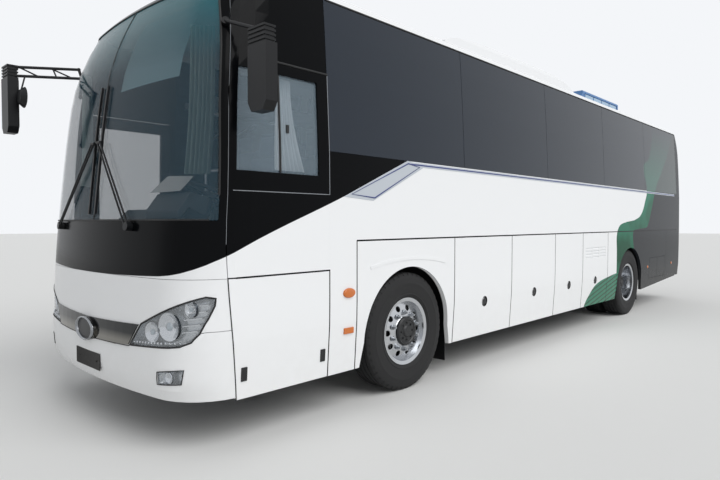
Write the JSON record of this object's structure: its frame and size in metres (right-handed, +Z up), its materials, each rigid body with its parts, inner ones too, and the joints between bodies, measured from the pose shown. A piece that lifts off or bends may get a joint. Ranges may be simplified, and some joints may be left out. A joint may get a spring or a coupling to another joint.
{
  "type": "airport passenger bus",
  "caption": "Single-deck passenger coach with a raised saloon, luggage flaps, twin rear wheels, long-arm mirrors and roof-mounted cooling units.",
  "frame": {"origin": "on the ground, in the middle of the overall length between the tail and the foremost mirror, on the centre line", "axes": "+X forward, +Y to the left of the driver, +Z up"},
  "size_m": [11.25, 3.24, 3.6],
  "materials": {
    "chassis_paint": "satin black chassis paint",
    "white_paint": "gloss white coach paint",
    "black_paint": "gloss black paint",
    "grey_paint": "gloss dark grey film",
    "side_glazing": "dark tinted glass",
    "screen_glazing": "laminated screen glass",
    "lamp_lens": "clear lens over bright bowls",
    "amber_lens": "amber lens",
    "bright_trim": "bright plated trim",
    "black_plastic": "grained black plastic",
    "cooler_paint": "blue paint",
    "floor_vinyl": "grey vinyl floor",
    "seat_fabric": "woven seat cover",
    "tyre_rubber": "black rubber",
    "wheel_alloy": "polished forged alloy"
  },
  "bodies": {
    "chassis": {"bay_frame": "chassis_paint", "front_frame": "chassis_paint", "rear_frame": "chassis_paint", "front_axle": "chassis_paint", "rear_axle": "chassis_paint", "face_frame": "chassis_paint", "battery_block": "chassis_paint", "side_wall_left": "white_paint", "side_wall_right": "white_paint", "nose_panel": "white_paint", "front_bumper": "white_paint", "front_dome": "white_paint", "roof": "white_paint", "roof_ac": "white_paint", "cab_side_left": "black_paint", "cab_side_right": "black_paint", "window_frame_left": "black_paint", "window_frame_right": "black_paint", "front_mask": "black_paint", "rear_wall": "grey_paint", "rear_bumper": "grey_paint", "cabin_glass": "side_glazing", "windscreen": "screen_glazing", "headlamps": "lamp_lens", "small_lamps": "amber_lens", "grille_bar": "bright_trim", "mirror_left": "black_plastic", "mirror_right": "black_plastic", "wipers": "black_plastic", "dashboard": "black_plastic", "wheel_houses": "black_plastic", "roof_cooler": "cooler_paint", "floor_deck": "floor_vinyl", "driver_seat": "seat_fabric", "passenger_seats": "seat_fabric"},
    "steer_left": {"knuckle_left": "chassis_paint"},
    "steer_right": {"knuckle_right": "chassis_paint"},
    "track_rod": {"tie_rod": "chassis_paint"},
    "wheel_front_left": {"tyre_front_left": "tyre_rubber", "rim_front_left": "wheel_alloy"},
    "wheel_front_right": {"tyre_front_right": "tyre_rubber", "rim_front_right": "wheel_alloy"},
    "wheel_rear_left": {"tyre_rear_left": "tyre_rubber", "rim_rear_left": "wheel_alloy"},
    "wheel_rear_right": {"tyre_rear_right": "tyre_rubber", "rim_rear_right": "wheel_alloy"},
    "steering_wheel": {"steering_wheel": "black_plastic"},
    "passenger_door": {"door_leaf": "black_paint", "door_glass": "side_glazing"},
    "service_flap_left": {"service_door_left": "white_paint"},
    "rear_hatch": {"rear_hatch": "grey_paint"},
    "luggage_flap_left_1": {"flap_left_1": "white_paint"},
    "luggage_flap_left_2": {"flap_left_2": "white_paint"},
    "luggage_flap_left_3": {"flap_left_3": "white_paint"},
    "luggage_flap_left_4": {"flap_left_4": "white_paint"},
    "luggage_flap_right_1": {"flap_right_1": "white_paint"},
    "luggage_flap_right_2": {"flap_right_2": "white_paint"},
    "luggage_flap_right_3": {"flap_right_3": "white_paint"},
    "luggage_flap_right_4": {"flap_right_4": "white_paint"}
  },
  "joints": [
    {"name": "steer_left_turn", "type": "hinge", "parent": "chassis", "child": "steer_left", "pos_m": [3.175, 0.93, 0.532], "axis": [0, 0, 1], "range_deg": [-42, 42]},
    {"name": "wheel_front_left_spin", "type": "hinge", "parent": "steer_left", "child": "wheel_front_left", "pos_m": [3.175, 1.1, 0.532], "axis": [0, 1, 0], "continuous": true},
    {"name": "wheel_rear_left_spin", "type": "hinge", "parent": "chassis", "child": "wheel_rear_left", "pos_m": [-2.625, 1.1, 0.532], "axis": [0, 1, 0], "continuous": true},
    {"name": "steer_right_turn", "type": "hinge", "parent": "chassis", "child": "steer_right", "pos_m": [3.175, -0.93, 0.532], "axis": [0, 0, 1], "range_deg": [-42, 42]},
    {"name": "wheel_front_right_spin", "type": "hinge", "parent": "steer_right", "child": "wheel_front_right", "pos_m": [3.175, -1.1, 0.532], "axis": [0, 1, 0], "continuous": true},
    {"name": "wheel_rear_right_spin", "type": "hinge", "parent": "chassis", "child": "wheel_rear_right", "pos_m": [-2.625, -1.1, 0.532], "axis": [0, 1, 0], "continuous": true},
    {"name": "track_rod_swing", "type": "hinge", "parent": "steer_left", "child": "track_rod", "pos_m": [2.915, 0.93, 0.402], "axis": [0, 0, 1], "range_deg": [-42, 42]},
    {"name": "steering_wheel_turn", "type": "hinge", "parent": "chassis", "child": "steering_wheel", "pos_m": [4.815, 0.62, 1.72], "axis": [-0.4226, 0, 0.9063], "range_deg": [-680, 680]},
    {"name": "passenger_door_swing", "type": "hinge", "parent": "chassis", "child": "passenger_door", "pos_m": [5, -1.275, 1.45], "axis": [0, 0, 1], "range_deg": [0, 95]},
    {"name": "service_flap_left_lift", "type": "hinge", "parent": "chassis", "child": "service_flap_left", "pos_m": [4.635, 1.275, 1.15], "axis": [1, 0, 0], "range_deg": [0, 95]},
    {"name": "rear_hatch_lift", "type": "hinge", "parent": "chassis", "child": "rear_hatch", "pos_m": [-5.62, 0, 1.765], "axis": [0, 1, 0], "range_deg": [0, 90]},
    {"name": "luggage_flap_left_1_lift", "type": "hinge", "parent": "chassis", "child": "luggage_flap_left_1", "pos_m": [1.9004, 1.275, 1.37], "axis": [1, 0, 0], "range_deg": [0, 95]},
    {"name": "luggage_flap_left_2_lift", "type": "hinge", "parent": "chassis", "child": "luggage_flap_left_2", "pos_m": [0.7633, 1.275, 1.37], "axis": [1, 0, 0], "range_deg": [0, 95]},
    {"name": "luggage_flap_left_3_lift", "type": "hinge", "parent": "chassis", "child": "luggage_flap_left_3", "pos_m": [-0.2387, 1.275, 1.37], "axis": [1, 0, 0], "range_deg": [0, 95]},
    {"name": "luggage_flap_left_4_lift", "type": "hinge", "parent": "chassis", "child": "luggage_flap_left_4", "pos_m": [-1.1467, 1.275, 1.37], "axis": [1, 0, 0], "range_deg": [0, 95]},
    {"name": "luggage_flap_right_1_lift", "type": "hinge", "parent": "chassis", "child": "luggage_flap_right_1", "pos_m": [1.9004, -1.275, 1.37], "axis": [-1, 0, 0], "range_deg": [0, 95]},
    {"name": "luggage_flap_right_2_lift", "type": "hinge", "parent": "chassis", "child": "luggage_flap_right_2", "pos_m": [0.7633, -1.275, 1.37], "axis": [-1, 0, 0], "range_deg": [0, 95]},
    {"name": "luggage_flap_right_3_lift", "type": "hinge", "parent": "chassis", "child": "luggage_flap_right_3", "pos_m": [-0.2387, -1.275, 1.37], "axis": [-1, 0, 0], "range_deg": [0, 95]},
    {"name": "luggage_flap_right_4_lift", "type": "hinge", "parent": "chassis", "child": "luggage_flap_right_4", "pos_m": [-1.1467, -1.275, 1.37], "axis": [-1, 0, 0], "range_deg": [0, 95]}
  ],
  "couplings": [
    {"joint": "steer_right_turn", "follows": "steer_left_turn", "ratio": 1},
    {"joint": "track_rod_swing", "follows": "steer_left_turn", "ratio": -1},
    {"joint": "steering_wheel_turn", "follows": "steer_left_turn", "ratio": 16}
  ]
}
